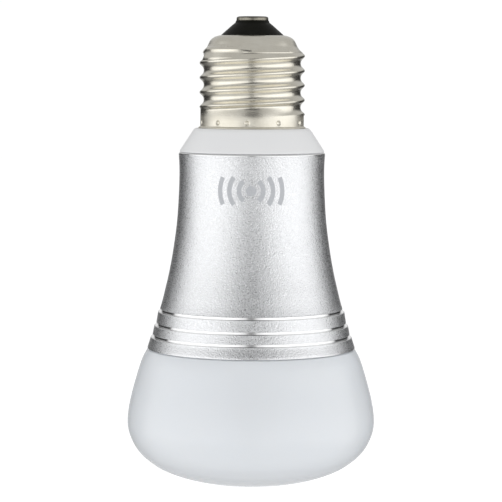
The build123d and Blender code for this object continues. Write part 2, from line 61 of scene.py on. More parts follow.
# ------------------------------------------------------------------------------ node helpers
class Mat:
    """Small builder round one Principled material."""

    def __init__(self, name):
        self.m = bpy.data.materials.new(name)
        self.m.use_nodes = True
        self.t = self.m.node_tree
        self.t.nodes.clear()
        self.out = self.t.nodes.new("ShaderNodeOutputMaterial")
        self.p = self.t.nodes.new("ShaderNodeBsdfPrincipled")
        self.t.links.new(self.p.outputs[0], self.out.inputs["Surface"])
        self.coord = self.t.nodes.new("ShaderNodeTexCoord").outputs["Object"]
        self.height = None

    def set(self, **kw):
        for k, v in kw.items():
            self.p.inputs[k.replace("_", " ")].default_value = v
        return self

    def node(self, kind, **props):
        n = self.t.nodes.new(kind)
        for k, v in props.items():
            setattr(n, k, v)
        return n

    def link(self, a, b):
        self.t.links.new(a, b)

    def scaled(self, sx, sy, sz, loc=(0, 0, 0)):
        n = self.node("ShaderNodeMapping")
        n.inputs["Scale"].default_value = (sx, sy, sz)
        n.inputs["Location"].default_value = loc
        self.link(self.coord, n.inputs["Vector"])
        return n.outputs[0]

    def noise(self, per_mm, detail=4.0, rough=0.6, stretch=(1, 1, 1), distort=0.0, loc=(0, 0, 0)):
        n = self.node("ShaderNodeTexNoise")
        n.inputs["Scale"].default_value = 1.0
        n.inputs["Detail"].default_value = detail
        n.inputs["Roughness"].default_value = rough
        n.inputs["Distortion"].default_value = distort
        s = per_mm * 1000.0
        self.link(self.scaled(s * stretch[0], s * stretch[1], s * stretch[2], loc), n.inputs["Vector"])
        return n.outputs["Fac"]

    def voronoi(self, per_mm, feature="F1", stretch=(1, 1, 1), randomness=1.0):
        n = self.node("ShaderNodeTexVoronoi", feature=feature)
        n.inputs["Scale"].default_value = 1.0
        n.inputs["Randomness"].default_value = randomness
        s = per_mm * 1000.0
        self.link(self.scaled(s * stretch[0], s * stretch[1], s * stretch[2]), n.inputs["Vector"])
        return n

    def ramp(self, fac, stops, interp="LINEAR"):
        n = self.node("ShaderNodeValToRGB")
        n.color_ramp.interpolation = interp
        el = n.color_ramp.elements
        while len(el) < len(stops):
            el.new(0.5)
        for e, (pos, col) in zip(el, stops):
            e.position = pos
            e.color = (*col, 1.0) if len(col) == 3 else col
        self.link(fac, n.inputs["Fac"])
        return n.outputs["Color"]

    def maprange(self, fac, a, b, c, d, smooth=False):
        n = self.node("ShaderNodeMapRange")
        n.interpolation_type = "SMOOTHSTEP" if smooth else "LINEAR"
        n.inputs["From Min"].default_value = a
        n.inputs["From Max"].default_value = b
        n.inputs["To Min"].default_value = c
        n.inputs["To Max"].default_value = d
        self.link(fac, n.inputs["Value"])
        return n.outputs["Result"]

    def math(self, op, a, b=None, c=None, clamp=False):
        n = self.node("ShaderNodeMath", operation=op, use_clamp=clamp)
        for i, v in enumerate((a, b, c)):
            if v is None:
                continue
            if isinstance(v, (int, float)):
                n.inputs[i].default_value = v
            else:
                self.link(v, n.inputs[i])
        return n.outputs[0]

    def mix(self, fac, a, b, blend="MIX"):
        n = self.node("ShaderNodeMix", data_type="RGBA", blend_type=blend)
        if isinstance(fac, (int, float)):
            n.inputs[0].default_value = fac
        else:
            self.link(fac, n.inputs[0])
        for i, v in ((6, a), (7, b)):
            if isinstance(v, tuple):
                n.inputs[i].default_value = (*v, 1.0)
            else:
                self.link(v, n.inputs[i])
        return n.outputs[2]

    def color(self, socket):
        self.link(socket, self.p.inputs["Base Color"])
        return self

    def rough(self, socket):
        self.link(socket, self.p.inputs["Roughness"])
        return self

    def bump(self, height, depth_mm, strength=1.0):
        """Adds a bump whose full height is depth_mm."""
        n = self.node("ShaderNodeBump")
        n.inputs["Strength"].default_value = strength
        n.inputs["Distance"].default_value = depth_mm * MM
        self.link(height, n.inputs["Height"])
        if self.height is not None:
            self.link(self.height, n.inputs["Normal"])
        self.height = n.outputs["Normal"]
        self.link(self.height, self.p.inputs["Normal"])
        return self

    def z_mm(self):
        s = self.node("ShaderNodeSeparateXYZ")
        self.link(self.coord, s.inputs[0])
        return self.math("MULTIPLY", s.outputs["Z"], 1000.0)

    def radius_mm(self):
        s = self.node("ShaderNodeSeparateXYZ")
        self.link(self.coord, s.inputs[0])
        xx = self.math("MULTIPLY", s.outputs["X"], s.outputs["X"])
        yy = self.math("MULTIPLY", s.outputs["Y"], s.outputs["Y"])
        return self.math("MULTIPLY", self.math("SQRT", self.math("ADD", xx, yy)), 1000.0)


# ------------------------------------------------------------------------------ materials
def make_nickel():
    m = Mat("nickel_plate").set(Metallic=1.0)
    tone = m.noise(0.22, 3.0, 0.55)
    spots = m.noise(2.6, 3.0, 0.6, loc=(3, 1, 7))
    col = m.ramp(tone, [(0.30, (0.705, 0.672, 0.582)), (0.70, (0.780, 0.750, 0.665))])
    col = m.mix(m.maprange(spots, 0.60, 0.78, 0.0, 0.30), col, (0.52, 0.48, 0.39))
    m.color(col)
    haze = m.noise(0.6, 4.0, 0.6, loc=(9, 2, 4))
    streak = m.noise(0.9, 3.0, 0.6, stretch=(0.12, 0.12, 6.0))
    r = m.math("ADD", m.maprange(haze, 0.3, 0.7, 0.150, 0.225), m.maprange(streak, 0.35, 0.75, 0.0, 0.05))
    # the staked skirt is duller than the rolled thread
    r = m.math("ADD", r, m.maprange(m.z_mm(), -23.4, -25.2, 0.0, 0.22, smooth=True))
    m.rough(r)
    m.bump(m.noise(1.3, 2.0, 0.5, loc=(2, 5, 1)), 0.013)
    m.bump(m.noise(3.4, 1.0, 0.6, loc=(7, 2, 6)), 0.012)
    m.bump(streak, 0.004)
    return m.m


def make_blasted():
    """Bead-blasted and clear-anodised: small dimples turn the surface every way, the tone itself hardly changes."""
    m = Mat("blasted_aluminium").set(Metallic=1.0)
    beads = m.noise(3.5, 0.0, 0.5)
    glint = m.noise(4.4, 1.0, 0.7, loc=(6, 3, 9))
    grit = m.noise(6.5, 1.0, 0.6, loc=(4, 8, 2))
    cloud = m.noise(0.10, 3.0, 0.5, loc=(1, 2, 3))
    col = m.ramp(grit, [(0.30, (0.692, 0.701, 0.717)), (0.70, (0.738, 0.746, 0.760))])
    col = m.mix(m.maprange(cloud, 0.3, 0.7, 0.0, 0.10), col, (0.64, 0.64, 0.635))
    m.color(col)
    m.rough(m.maprange(glint, 0.32, 0.68, 0.17, 0.46))
    m.bump(beads, 0.084)
    m.bump(grit, 0.020)
    return m.m


def make_polished():
    m = Mat("cut_aluminium").set(Metallic=1.0)
    turn = m.noise(1.0, 2.0, 0.6, stretch=(0.05, 0.05, 18.0))
    m.color(m.ramp(turn, [(0.3, (0.80, 0.805, 0.81)), (0.7, (0.87, 0.872, 0.875))]))
    m.rough(m.maprange(turn, 0.3, 0.7, 0.06, 0.13))
    m.bump(turn, 0.003)
    return m.m


def make_globe():
    m = Mat("opal_globe").set(IOR=1.49, Subsurface_Weight=0.35, Subsurface_Scale=0.004)
    m.p.inputs["Subsurface Radius"].default_value = (1.0, 0.96, 0.90)
    cloud = m.noise(0.05, 3.0, 0.5)
    fleck = m.noise(1.4, 2.0, 0.6, loc=(5, 5, 5))
    col = m.ramp(cloud, [(0.3, (0.852, 0.893, 0.944)), (0.7, (0.876, 0.912, 0.955))])
    col = m.mix(m.maprange(fleck, 0.5, 0.75, 0.0, 0.05), col, (0.80, 0.82, 0.85))
    m.color(col)
    m.rough(m.maprange(m.noise(0.25, 3.0, 0.6, loc=(7, 1, 1)), 0.3, 0.7, 0.20, 0.27))
    m.bump(m.noise(0.35, 2.0, 0.5, loc=(1, 9, 2)), 0.006)
    return m.m


def make_white_plastic():
    m = Mat("white_neck_plastic").set(IOR=1.53)
    cloud = m.noise(0.08, 3.0, 0.5, loc=(2, 2, 2))
    col = m.ramp(cloud, [(0.3, (0.885, 0.893, 0.903)), (0.7, (0.902, 0.909, 0.917))])
    m.color(col)
    tex = m.noise(4.0, 2.0, 0.6)
    m.rough(m.maprange(tex, 0.3, 0.7, 0.34, 0.44))
    m.bump(tex, 0.004)
    m.bump(m.noise(0.4, 2.0, 0.5, loc=(3, 1, 1)), 0.006)
    return m.m


def make_black_insulator():
    m = Mat("black_glassy_insulator").set(IOR=1.5, Specular_IOR_Level=0.06)
    cloud = m.noise(0.5, 3.0, 0.6)
    m.color(m.ramp(cloud, [(0.3, (0.0055, 0.0055, 0.0040)), (0.7, (0.0095, 0.0095, 0.0070))]))
    dust = m.noise(3.5, 3.0, 0.7, loc=(1, 4, 4))
    m.rough(m.maprange(dust, 0.4, 0.75, 0.30, 0.55))
    m.bump(m.noise(0.8, 2.0, 0.5, loc=(8, 4, 4)), 0.012)
    return m.m


def make_contact():
    m = Mat("tinned_contact").set(Metallic=1.0)
    tone = m.noise(0.8, 4.0, 0.65)
    tin = m.ramp(tone, [(0.3, (0.18, 0.172, 0.145)), (0.7, (0.33, 0.31, 0.26))])
    # painted shade: the rounded rim of the face is painted dark, a dark outline standing in for the shade at that edge
    rim_shade = m.math("MULTIPLY", m.maprange(m.z_mm(), -0.40, -0.20, 0.0, 0.85), m.maprange(m.radius_mm(), 2.9, 3.5, 0.0, 1.0, smooth=True))
    m.color(m.mix(rim_shade, tin, (0.07, 0.066, 0.055)))
    m.rough(m.maprange(m.noise(2.0, 3.0, 0.6, loc=(2, 1, 0)), 0.3, 0.7, 0.24, 0.42))
    m.bump(m.noise(1.6, 3.0, 0.6, loc=(5, 1, 1)), 0.02)
    return m.m


def make_etch():
    m = Mat("laser_etch").set(Metallic=0.35, IOR=1.45)
    g = m.noise(3.0, 2.0, 0.6)
    m.color(m.ramp(g, [(0.3, (0.545, 0.56, 0.585)), (0.7, (0.61, 0.625, 0.65))]))
    m.rough(m.maprange(m.noise(5.0, 2.0, 0.6, loc=(1, 1, 4)), 0.3, 0.7, 0.62, 0.80))
    m.bump(g, 0.006)
    return m.m


def plain_metal(name, c0, c1, r0, r1, brushed=None, bump=0.006):
    m = Mat(name).set(Metallic=1.0)
    st = brushed or (1, 1, 1)
    n = m.noise(1.5, 3.0, 0.6, stretch=st)
    m.color(m.ramp(n, [(0.3, c0), (0.7, c1)]))
    m.rough(m.maprange(m.noise(2.5, 3.0, 0.6, stretch=st, loc=(4, 4, 1)), 0.3, 0.7, r0, r1))
    m.bump(n, bump)
    return m.m


def plain_plastic(name, c0, c1, r0, r1, ior=1.5, grain=3.0, bump=0.006, detail=3.0):
    m = Mat(name).set(IOR=ior)
    n = m.noise(grain * 0.15, detail, 0.6)
    g = m.noise(grain, 2.0, 0.6, loc=(3, 7, 1))
    m.color(m.ramp(n, [(0.3, c0), (0.7, c1)]))
    m.rough(m.maprange(g, 0.3, 0.7, r0, r1))
    m.bump(g, bump)
    return m.m


def make_board(name, c0, c1, copper, mask_is_white=False):
    """Solder mask over etched copper tracks, with the weave of the glass cloth under it."""
    m = Mat(name).set(IOR=1.55)
    tracks = m.voronoi(0.45, "DISTANCE_TO_EDGE", randomness=0.65)
    line = m.maprange(tracks.outputs["Distance"], 0.06, 0.10, 1.0, 0.0, smooth=True)
    weave = m.noise(2.2, 2.0, 0.5, stretch=(1, 1, 1))
    base = m.ramp(weave, [(0.3, c0), (0.7, c1)])
    m.color(m.mix(line, base, copper))
    m.rough(m.maprange(weave, 0.3, 0.7, 0.28, 0.40))
    m.bump(line, 0.03)
    return m.m


def make_phosphor():
    m = Mat("yellow_phosphor").set(IOR=1.42, Subsurface_Weight=0.2, Subsurface_Scale=0.0003)
    g = m.noise(9.0, 2.0, 0.7)
    m.color(m.ramp(g, [(0.3, (0.82, 0.55, 0.06)), (0.7, (0.92, 0.70, 0.16))]))
    m.rough(m.maprange(g, 0.3, 0.7, 0.25, 0.45))
    m.bump(g, 0.01)
    return m.m


def make_window():
    m = Mat("clear_resin_window").set(IOR=1.5)
    g = m.voronoi(0.9, "F1")
    m.color(m.ramp(g.outputs["Distance"], [(0.0, (0.62, 0.60, 0.52)), (0.5, (0.80, 0.81, 0.83))]))
    m.rough(m.maprange(m.noise(2.0, 2.0, 0.6), 0.3, 0.7, 0.10, 0.22))
    m.bump(m.noise(1.2, 2.0, 0.6, loc=(1, 0, 0)), 0.01)
    return m.m


def make_sleeve(name, ink0, ink1, stripe):
    """Printed shrink sleeve of an electrolytic capacitor: plain with one pale stripe."""
    m = Mat(name).set(IOR=1.5)
    s = m.node("ShaderNodeSeparateXYZ")
    m.link(m.coord, s.inputs[0])
    ang = m.math("SINE", m.math("MULTIPLY", s.outputs["X"], 700.0))
    band = m.maprange(ang, 0.93, 0.97, 0.0, 1.0, smooth=True)
    g = m.noise(1.2, 3.0, 0.6)
    m.color(m.mix(band, m.ramp(g, [(0.3, ink0), (0.7, ink1)]), stripe))
    m.rough(m.maprange(g, 0.3, 0.7, 0.22, 0.34))
    m.bump(m.noise(0.7, 2.0, 0.5, loc=(1, 3, 3)), 0.02)
    return m.m


def make_tape():
    m = Mat("winding_tape").set(IOR=1.5)
    lap = m.noise(1.0, 2.0, 0.5, stretch=(0.05, 0.05, 2.5))
    m.color(m.ramp(lap, [(0.35, (0.70, 0.46, 0.05)), (0.65, (0.84, 0.62, 0.12))]))
    m.rough(m.maprange(lap, 0.3, 0.7, 0.22, 0.36))
    m.bump(lap, 0.04)
    return m.m


MATS = {
    "nickel": make_nickel(),
    "blasted": make_blasted(),
    "polished": make_polished(),
    "globe": make_globe(),
    "white": make_white_plastic(),
    "black": make_black_insulator(),
    "contact": make_contact(),
    "etch": make_etch(),
}

CAD_MATS = {
    "collar_screws": plain_metal("zinc_screw", (0.52, 0.53, 0.56), (0.68, 0.69, 0.72), 0.22, 0.38),
    "board_screws": "collar_screws",
    "globe_sealant": plain_plastic("cured_silicone", (0.74, 0.745, 0.74), (0.82, 0.82, 0.81), 0.30, 0.50, 1.41, 1.5, 0.03),
    "heat_spreader_plate": plain_metal("rolled_aluminium", (0.70, 0.71, 0.72), (0.84, 0.845, 0.85), 0.24, 0.38, (8.0, 0.25, 1.0), 0.004),
    "thermal_pad": plain_plastic("thermal_pad", (0.38, 0.48, 0.55), (0.46, 0.56, 0.63), 0.60, 0.80, 1.41, 2.5, 0.02),
    "led_board": make_board("white_mask_board", (0.80, 0.80, 0.78), (0.86, 0.86, 0.84), (0.70, 0.70, 0.66)),
    "white_led_packages": plain_plastic("led_package", (0.80, 0.79, 0.74), (0.88, 0.87, 0.83), 0.30, 0.45, 1.5, 4.0, 0.004),
    "colour_led_packages": "white_led_packages",
    "white_led_phosphor": make_phosphor(),
    "colour_led_windows": make_window(),
    "driver_sleeve": plain_plastic("natural_moulding", (0.72, 0.70, 0.63), (0.80, 0.78, 0.72), 0.45, 0.60, 1.53, 2.5, 0.010),
    "insulating_disc": plain_plastic("fish_paper", (0.22, 0.28, 0.22), (0.32, 0.38, 0.30), 0.70, 0.88, 1.4, 3.0, 0.02),
    "driver_board": make_board("green_mask_board", (0.020, 0.130, 0.050), (0.035, 0.190, 0.075), (0.06, 0.30, 0.12)),
    "radio_board": make_board("radio_mask_board", (0.018, 0.110, 0.045), (0.030, 0.170, 0.070), (0.05, 0.27, 0.11)),
    "bulk_capacitor": make_sleeve("dark_sleeve", (0.015, 0.022, 0.045), (0.03, 0.04, 0.07), (0.62, 0.64, 0.66)),
    "output_capacitor": make_sleeve("green_sleeve", (0.02, 0.08, 0.06), (0.03, 0.11, 0.09), (0.68, 0.62, 0.40)),
    "transformer_core": plain_plastic("ferrite", (0.035, 0.035, 0.038), (0.070, 0.070, 0.075), 0.45, 0.65, 1.9, 5.0, 0.010),
    "filter_choke": "transformer_core",
    "transformer_winding": make_tape(),
    "radio_shield": plain_metal("tinned_can", (0.62, 0.62, 0.60), (0.76, 0.76, 0.74), 0.16, 0.30, (0.3, 1, 4.0), 0.004),
    "radio_aerial": plain_metal("gold_flash_track", (0.80, 0.55, 0.28), (0.92, 0.68, 0.38), 0.22, 0.36),
    "radio_pins": plain_metal("tinned_pin", (0.66, 0.65, 0.61), (0.80, 0.79, 0.75), 0.18, 0.32),
    "output_pins": "radio_pins",
    "driver_chip_pins": "radio_pins",
    "bridge_rectifier": plain_plastic("moulded_epoxy", (0.016, 0.016, 0.018), (0.030, 0.030, 0.033), 0.45, 0.62, 1.55, 6.0, 0.008),
    "driver_chip": "bridge_rectifier",
    "output_header": "bridge_rectifier",
    "surge_varistor": plain_plastic("dipped_blue", (0.02, 0.12, 0.42), (0.04, 0.17, 0.52), 0.20, 0.34, 1.5, 1.2, 0.04),
    "fusible_resistor": plain_plastic("flameproof_coat", (0.06, 0.28, 0.26), (0.10, 0.36, 0.34), 0.55, 0.72, 1.5, 3.0, 0.03),
    "film_capacitor": plain_plastic("yellow_box", (0.76, 0.54, 0.05), (0.84, 0.63, 0.09), 0.30, 0.42, 1.5, 3.0, 0.008),
    "board_socket": plain_plastic("white_nylon", (0.76, 0.76, 0.73), (0.84, 0.84, 0.81), 0.40, 0.55, 1.53, 3.0, 0.008),
    "live_lead": plain_plastic("brown_insulation", (0.14, 0.055, 0.02), (0.20, 0.085, 0.035), 0.36, 0.50, 1.5, 1.5, 0.01),
    "neutral_lead": plain_plastic("blue_insulation", (0.02, 0.07, 0.28), (0.035, 0.11, 0.38), 0.36, 0.50, 1.5, 1.5, 0.01),
}

REPLACED = {"centre_contact", "cap_insulator", "screw_shell", "neck_collar", "heat_sink_body", "diffuser_globe"}
for name, obj in NODES.items():
    if name in REPLACED:
        continue
    mat = CAD_MATS[name]
    if isinstance(mat, str):
        mat = CAD_MATS[mat]
    if not obj.material_slots:
        obj.data.materials.append(mat)
    for s in obj.material_slots:
        s.material = mat


# ------------------------------------------------------------------------------ mesh helpers
def make_object(name, verts, faces, mats, face_mats=None, sharp_deg=35.0):
    me = bpy.data.meshes.new(name)
    me.from_pydata([tuple(float(c) * MM for c in v) for v in verts], [], [tuple(map(int, f)) for f in faces])
    me.validate()
    for m in mats:
        me.materials.append(m)
    if face_mats is not None:
        me.polygons.foreach_set("material_index", np.asarray(face_mats, np.int32))
    me.update()
    bm = bmesh.new()
    bm.from_mesh(me)
    bmesh.ops.recalc_face_normals(bm, faces=bm.faces)
    lim = math.radians(sharp_deg)
    for f in bm.faces:
        f.smooth = True
    for e in bm.edges:
        if len(e.link_faces) == 2:
            e.smooth = e.calc_face_angle(0.0) < lim
    bm.to_mesh(me)
    bm.free()
    o = bpy.data.objects.new(name, me)
    scene.collection.objects.link(o)
    return o


def lathe(name, profile, mats, seg=288, mat_of=None, closed=True, sharp_deg=35.0):
    """Turns a closed outline of (r, z) points about Z. Points on the axis become one vertex.
    mat_of(i) gives the material index of the strip from point i to point i + 1."""
    pts = list(profile)
    n = len(pts)
    ang = np.linspace(0, 2 * np.pi, seg, endpoint=False)
    ca, sa = np.cos(ang), np.sin(ang)
    verts, rows = [], []
    for r, z in pts:
        if r < 1e-6:
            rows.append([len(verts)] * seg)
            verts.append((0, 0, z))
        else:
            k = len(verts)
            rows.append(list(range(k, k + seg)))
            verts.extend(zip(r * ca, r * sa, np.full(seg, z)))
    faces, fm = [], []
    for i in range(n if closed else n - 1):
        a, b = rows[i], rows[(i + 1) % n]
        if a[0] == a[1] and b[0] == b[1]:
            continue
        mi = mat_of(i) if mat_of else 0
        for j in range(seg):
            k = (j + 1) % seg
            if a[0] == a[1]:
                f = (a[0], b[k], b[j])
            elif b[0] == b[1]:
                f = (a[j], a[k], b[0])
            else:
                f = (a[j], a[k], b[k], b[j])
            faces.append(f)
            fm.append(mi)
    return make_object(name, verts, faces, mats, fm, sharp_deg)


def catmull(points, step):
    """A smooth line through points (centripetal Catmull-Rom), sampled about every step mm."""
    P = [np.array(p, float) for p in points]
    P = [2 * P[0] - P[1]] + P + [2 * P[-1] - P[-2]]
    out = []
    for i in range(1, len(P) - 2):
        p0, p1, p2, p3 = P[i - 1:i + 3]
        t0 = 0.0
        t1 = t0 + np.linalg.norm(p1 - p0) ** 0.5
        t2 = t1 + np.linalg.norm(p2 - p1) ** 0.5
        t3 = t2 + np.linalg.norm(p3 - p2) ** 0.5
        n = max(1, int(round(np.linalg.norm(p2 - p1) / step)))
        for t in np.linspace(t1, t2, n, endpoint=False):
            a1 = (t1 - t) / (t1 - t0) * p0 + (t - t0) / (t1 - t0) * p1
            a2 = (t2 - t) / (t2 - t1) * p1 + (t - t1) / (t2 - t1) * p2
            a3 = (t3 - t) / (t3 - t2) * p2 + (t - t2) / (t3 - t2) * p3
            b1 = (t2 - t) / (t2 - t0) * a1 + (t - t0) / (t2 - t0) * a2
            b2 = (t3 - t) / (t3 - t1) * a2 + (t - t1) / (t3 - t1) * a3
            out.append((t2 - t) / (t2 - t1) * b1 + (t - t1) / (t2 - t1) * b2)
    out.append(np.array(points[-1], float))
    return [tuple(p) for p in out]


def line(a, b, step):
    n = max(1, int(round(math.hypot(b[0] - a[0], b[1] - a[1]) / step)))
    return [(a[0] + (b[0] - a[0]) * t, a[1] + (b[1] - a[1]) * t) for t in np.linspace(0, 1, n, endpoint=False)]


def rounded(points, radii, step=0.06):
    """An open run of straight lines with its inner corners rounded to the given radii."""
    out = [points[0]]
    for i in range(1, len(points) - 1):
        p, a, b = (np.array(points[k], float) for k in (i, i - 1, i + 1))
        r = radii[i - 1] if isinstance(radii, (list, tuple)) else radii
        u, v = a - p, b - p
        lu, lv = np.linalg.norm(u), np.linalg.norm(v)
        u, v = u / lu, v / lv
        cosang = float(np.clip(u @ v, -1, 1))
        half = math.acos(cosang) / 2
        if r <= 0 or half > math.radians(89.5):
            out.append(tuple(p))
            continue
        t = min(r / math.tan(half), 0.49 * lu, 0.49 * lv)
        rr = t * math.tan(half)
        c = p + (u + v) / np.linalg.norm(u + v) * (rr / math.sin(half))
        s, e = p + u * t, p + v * t
        a0 = math.atan2(*(s - c)[::-1])
        a1 = math.atan2(*(e - c)[::-1])
        d = (a1 - a0 + math.pi) % (2 * math.pi) - math.pi
        n = max(2, int(abs(d) * rr / step) + 1)
        for k in range(n + 1):
            q = a0 + d * k / n
            out.append((c[0] + rr * math.cos(q), c[1] + rr * math.sin(q)))
    out.append(points[-1])
    return out


# ------------------------------------------------------------------------------ contact and insulator
contact_profile = [(0, 0.0)] + [(r, -0.00 - 0.0) for r in (1.2, 2.4)] + rounded(
    [(3.0, -0.0), (3.52, -0.035), (3.90, -0.24), (3.95, -0.60), (3.93, -1.0), (3.5, -1.0)], [0.6, 0.35, 0.3, 0.03], 0.03) + [
    (1.20, -1.0), (1.20, -8.58), (0, -8.58)]
contact = lathe("contact_button", contact_profile, [MATS["contact"]], 160)
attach(contact, "root")
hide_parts("centre_contact")

ins_profile = rounded(
    [(1.26, -1.0), (3.98, -1.0), (4.08, -1.06), (4.22, -1.55), (4.95, -2.12), (7.76, -4.62), (7.76, -5.02), (9.28, -5.62),
     (10.22, -7.20), (10.22, -8.78), (8.90, -8.78), (8.20, -6.90), (3.40, -5.40), (2.90, -7.98), (1.26, -7.98)],
    [0.03, 0.08, 0.5, 0.9, 0.05, 0.1, 0.3, 0.3, 0.1, 0.1, 0.3, 0.3, 0.2], 0.08)
insulator = lathe("insulator_moulding", ins_profile, [MATS["black"]], 192)
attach(insulator, "root")
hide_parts("cap_insulator")

# ------------------------------------------------------------------------------ cap shell
PITCH, CREST, ROOT = 3.629, 13.05, 12.03
SKIRT = 12.85
ARC_CREST, ARC_ROOT = 0.50, 1.45


def thread_shape(u):
    """Radius of the rolled thread at u mm from a crest along the axis: a tight crest arc and a wide root arc,
    joined by their common tangent."""
    u = np.abs((u + PITCH / 2) % PITCH - PITCH / 2)
    rc = CREST - ARC_CREST
    rr = ROOT + ARC_ROOT
    half = PITCH / 2
    d = rr - rc
    phi = math.acos(min(1.0, (ARC_CREST + ARC_ROOT) / math.hypot(half, d)))
    ang = math.atan2(half, d) - phi
    uc, hc = ARC_CREST * math.sin(ang), rc + ARC_CREST * math.cos(ang)
    ur, hr = half - ARC_ROOT * math.sin(ang), rr - ARC_ROOT * math.cos(ang)
    crest = rc + np.sqrt(np.maximum(ARC_CREST ** 2 - u ** 2, 0))
    root = rr - np.sqrt(np.maximum(ARC_ROOT ** 2 - (half - u) ** 2, 0))
    flank = hc + (u - uc) / (ur - uc) * (hr - hc)
    return np.where(u < uc, crest, np.where(u > ur, root, flank))


def smooth(a, b, x):
    t = np.clip((x - a) / (b - a), 0, 1)
    return t * t * (3 - 2 * t)


skin = rounded([(7.80, -4.98), (7.80, -4.74), (7.90, -4.66), (8.40, -4.74), (9.30, -5.04), (9.98, -5.45), (10.52, -6.03),
                (10.88, -6.77), (11.20, -7.51), (11.72, -8.25), (12.12, -8.90)], [0.1, 0.1, 0.6, 1.2, 1.2, 1.5, 2.0, 2.0, 1.0], 0.10)
zs_thread = list(np.linspace(-8.90, -24.60, 132))[1:]
zs_skirt = list(np.linspace(-24.60, -25.50, 7))[1:] + list(np.linspace(-25.50, -27.00, 15))[1:]
lip = rounded([(12.85, -27.0), (12.86, -27.12), (13.30, -27.40), (13.36, -27.56), (12.9, -27.58)], [0.2, 0.12, 0.05], 0.05)

N_SECT, PER = 10, 42
PUNCH0, PUNCH_Z = 228.5, -26.15
deg = []
for k in range(N_SECT):
    c = PUNCH0 + 36.0 * k
    deg += list(c + np.linspace(-3.2, 3.2, 15)[:-1])
    deg += list(c + np.linspace(3.2, 32.8, PER - 14 + 1)[:-1])
deg = np.array(deg)
th = np.radians(deg)

rows = []
for r, z in skin:
    rows.append((np.full(len(th), r), np.full(len(th), z), "skin"))
for z in zs_thread:
    rows.append((np.full(len(th), SKIRT), np.full(len(th), z), "thread"))
for z in zs_skirt:
    rows.append((np.full(len(th), SKIRT), np.full(len(th), z), "skirt"))
for r, z in lip[1:]:
    rows.append((np.full(len(th), r), np.full(len(th), z), "lip"))


TURN = deg % 360.0
CREST0 = -9.72                                             # height of a crest at 0 degrees
LAST = CREST0 - 4 * PITCH + PITCH * (TURN / 360.0)          # the last crest, which the skirt starts from
RUNOUT = smooth(178.0, 226.0, TURN)                         # the groove under it fades in over the left front
LEDGE = smooth(187.0, 201.0, TURN) * (1 - smooth(244.0, 278.0, TURN))
FULL = smooth(285.0, 352.0, TURN)                           # and is a whole turn again on the right


def run_out(s):
    """Radius at s mm below the last crest where the groove runs out: a tight root, then a long cone to the skirt."""
    return np.interp(s, [-0.2, 0.0, 0.16, 0.34, 0.62, 0.78, 0.90, 1.02, 1.2, 1.6, 2.0, 2.4, 2.8, 3.2, 3.6, 4.0, 4.4],
                     [13.02, 13.05, 12.98, 12.74, 12.25, 12.09, 12.045, 12.050, 12.095, 12.230, 12.370, 12.505, 12.630, 12.730,
                      12.798, 12.836, 12.85])


def ledge(z):
    """Radius of the short upright ledge under the shoulder and of the cone that leads from it to the first whole crest."""
    return np.interp(-z, [6.77, 7.20, 7.50, 7.68, 7.80, 7.92, 8.05, 8.40, 8.66, 8.80, 9.00, 9.40, 10.20, 10.60, 11.00, 11.40],
                     [10.88, 11.06, 11.36, 11.74, 11.98, 12.10, 12.135, 12.14, 12.145, 12.17, 12.25, 12.43, 12.79, 12.88,
                      12.60, 12.00])


def shell_radius(r0, z, kind):
    """Radius at each angle for a row of the cap shell."""
    crest_z = CREST0 + PITCH * (deg / 360.0)
    wave = thread_shape(z - crest_z)
    if kind == "skin":
        # the ridge dies out into the shoulder, and over the left front the shoulder ends in a short upright ledge
        plain = r0 + (wave - ROOT) * smooth(-7.75, -9.2, z) * smooth(10.8, 11.9, r0)
        return plain + (ledge(z) - plain) * LEDGE * smooth(-6.7, -6.9, z)
    if kind == "lip":
        return r0
    low = ROOT + (wave - ROOT) * smooth(-7.75, -9.2, z)
    step = ledge(z)
    low = low + (0.5 * (low + step + np.sqrt((low - step) ** 2 + 0.003)) - low) * LEDGE * smooth(-11.3, -10.9, z)
    turn = np.where(z < LAST - PITCH / 2, np.minimum(wave, SKIRT), wave)
    turn = np.where(z < LAST - PITCH, SKIRT, turn)
    last = run_out(LAST - z) * (1 - FULL) + turn * FULL
    last = SKIRT + (last - SKIRT) * RUNOUT
    out = np.where(z > LAST, low, last)
    flat = smooth(LAST - 0.45, LAST, z) * (z <= LAST)
    out = out * (1 - flat * (1 - RUNOUT)) + CREST * flat * (1 - RUNOUT)
    for k in range(N_SECT):
        d = (deg - (PUNCH0 + 36.0 * k) + 180.0) % 360.0 - 180.0
        dist = np.hypot(np.radians(d) * SKIRT, z - PUNCH_Z)
        cup = np.where(dist < 0.70, -0.42 * (1 - (dist / 0.70) ** 2) ** 1.5, 0)
        dent = -0.080 * np.exp(-(dist / 1.30) ** 2)
        out = out + (cup + dent) * smooth(-24.2, -25.0, z)
    return out


outer = []
for r, z, kind in rows:
    outer.append((shell_radius(r, z, kind), z))
verts, nth = [], len(th)
for r, z in outer:
    verts.extend(zip(r * np.cos(th), r * np.sin(th), z))
n_out = len(outer)
# Inner wall: the same sheet seen from inside, a coarser run of rows from the rim back up to the opening.
inner_idx = [i for i in range(n_out) if rows[i][2] in ("thread", "skirt")][::-1][::7]
inner_rows = [(np.full(nth, 12.44), np.full(nth, -27.58))]
for i in inner_idx:
    r, z = outer[i]
    if float(z[0]) < -27.2:
        continue
    rr = r - 0.40
    if rows[i][2] == "skirt":
        rr = np.full(nth, SKIRT - 0.40)
    inner_rows.append((np.minimum(rr, 12.45), z))
for r, z in [(11.2, -8.30), (10.72, -7.55), (10.45, -6.85), (10.12, -6.25), (9.65, -5.72), (9.05, -5.42), (8.35, -5.14), (7.84, -5.00)]:
    inner_rows.append((np.full(nth, r), np.full(nth, z)))
for r, z in inner_rows:
    verts.extend(zip(r * np.cos(th), r * np.sin(th), z))
total = n_out + len(inner_rows)
faces = []
for i in range(total):
    a, b = i * nth, ((i + 1) % total) * nth
    for j in range(nth):
        k = (j + 1) % nth
        faces.append((a + j, a + k, b + k, b + j))
